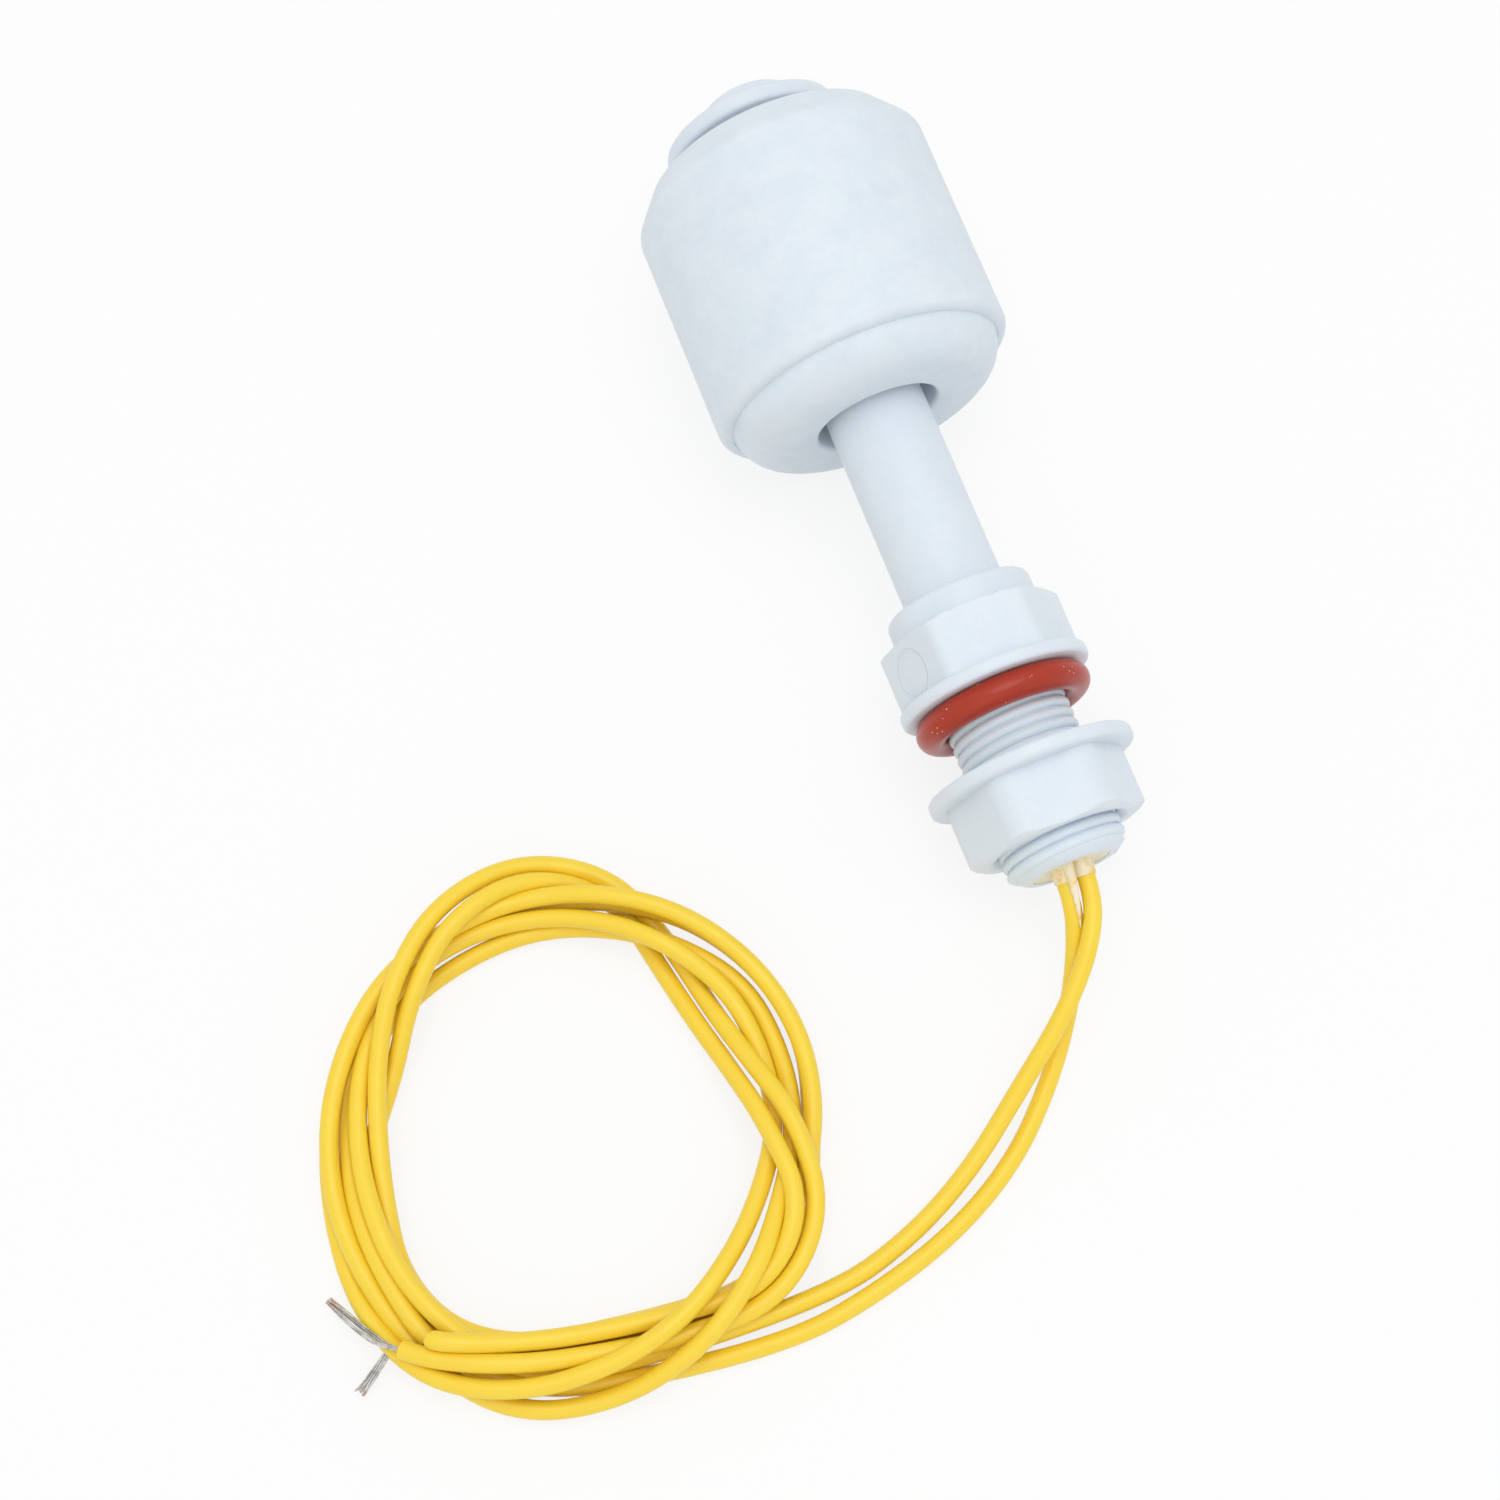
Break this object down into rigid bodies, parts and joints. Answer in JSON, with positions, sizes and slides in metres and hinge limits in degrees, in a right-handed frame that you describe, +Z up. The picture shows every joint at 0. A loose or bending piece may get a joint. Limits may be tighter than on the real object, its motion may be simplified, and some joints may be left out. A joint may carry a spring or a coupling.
{
  "type": "float level switch",
  "caption": "Float level switch: a magnet float slides on a stem with a hexagon, sealing ring and threaded tail with lock nut; its lead wires are wound in a coil.",
  "frame": {"origin": "on the ground under the middle of the switch's bounding box", "axes": "+Y along the switch on the ground, towards the float; +Z up; +X away from the coil of wire. The stem's axis rises towards the float by 6.50 degrees, because the switch lies on its float and its lock nut."},
  "size_m": [0.0741, 0.0912, 0.0258],
  "materials": {
    "body_plastic": "satin moulded polypropylene",
    "float_plastic": "satin moulded polypropylene",
    "magnet": "dark sintered ferrite",
    "seal_rubber": "smooth glossy silicone rubber",
    "resin": "cast resin",
    "glue": "clear glossy glue",
    "glass": "clear glass",
    "sleeve_plastic": "thin dark sleeve",
    "reed_metal": "plated reed wire",
    "solder": "soft solder",
    "insulation": "smooth yellow wire insulation",
    "bare_wire": "tinned copper strands"
  },
  "bodies": {
    "switch": {"switch_body": "body_plastic", "retaining_clip": "body_plastic", "sealing_ring": "seal_rubber", "potting_plug": "resin", "glue_bead": "glue", "reed_glass": "glass", "reed_sleeve": "sleeve_plastic", "reed_lower": "reed_metal", "reed_upper": "reed_metal", "return_lead": "reed_metal", "solder_upper": "solder", "solder_left": "solder", "solder_right": "solder", "wire_tail_left": "insulation", "wire_tail_right": "insulation", "lead_left": "insulation", "lead_right": "insulation", "wire_coil": "insulation", "strands_left": "bare_wire", "strands_right": "bare_wire"},
    "float": {"float_shell": "float_plastic", "float_cap": "float_plastic", "float_magnet": "magnet"},
    "nut": {"lock_nut": "body_plastic"}
  },
  "joints": [
    {"name": "float_slide", "type": "slide", "parent": "switch", "child": "float", "axis": [0, 0.9936, 0.1132], "range_m": [-0.01585, 0.00205]},
    {"name": "nut_travel", "type": "slide", "parent": "switch", "child": "nut", "axis": [0, 0.9936, 0.1132], "range_m": [-0.006, 0.0036]}
  ]
}
